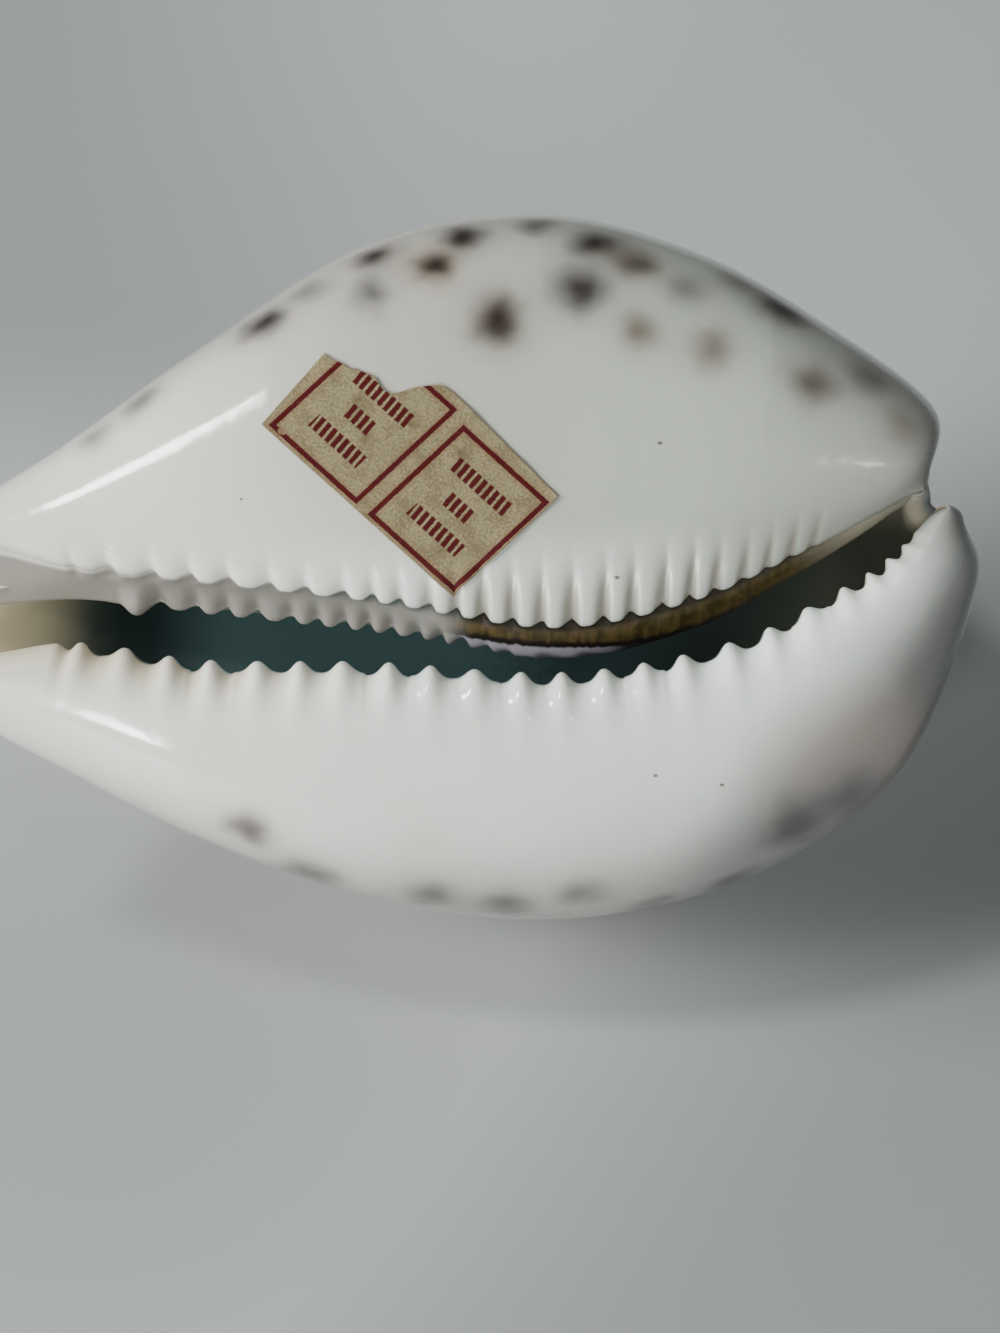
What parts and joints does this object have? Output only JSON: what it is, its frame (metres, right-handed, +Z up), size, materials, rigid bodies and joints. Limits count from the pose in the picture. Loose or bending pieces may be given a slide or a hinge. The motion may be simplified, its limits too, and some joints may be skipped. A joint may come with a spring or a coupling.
{
  "type": "cowrie shell",
  "caption": "Tiger cowrie shell lying on its flank with its long toothed aperture turned up, a torn paper sticker on its base.",
  "frame": {"origin": "middle of the small flat spot on the outer-lip flank that the shell lies on", "axes": "+X along the shell from its front canal to its rear canal, +Z up as it lies, -Y the side its aperture is turned to"},
  "size_m": [0.0904, 0.0583, 0.0561],
  "materials": {
    "porcelain": "very glossy enamel, white base, dark blurred spots on the flanks and back",
    "paper": "matt aged tan paper with dark red frame lines"
  },
  "bodies": {
    "root": {"shell": "porcelain", "paper_label": "paper"}
  },
  "joints": []
}
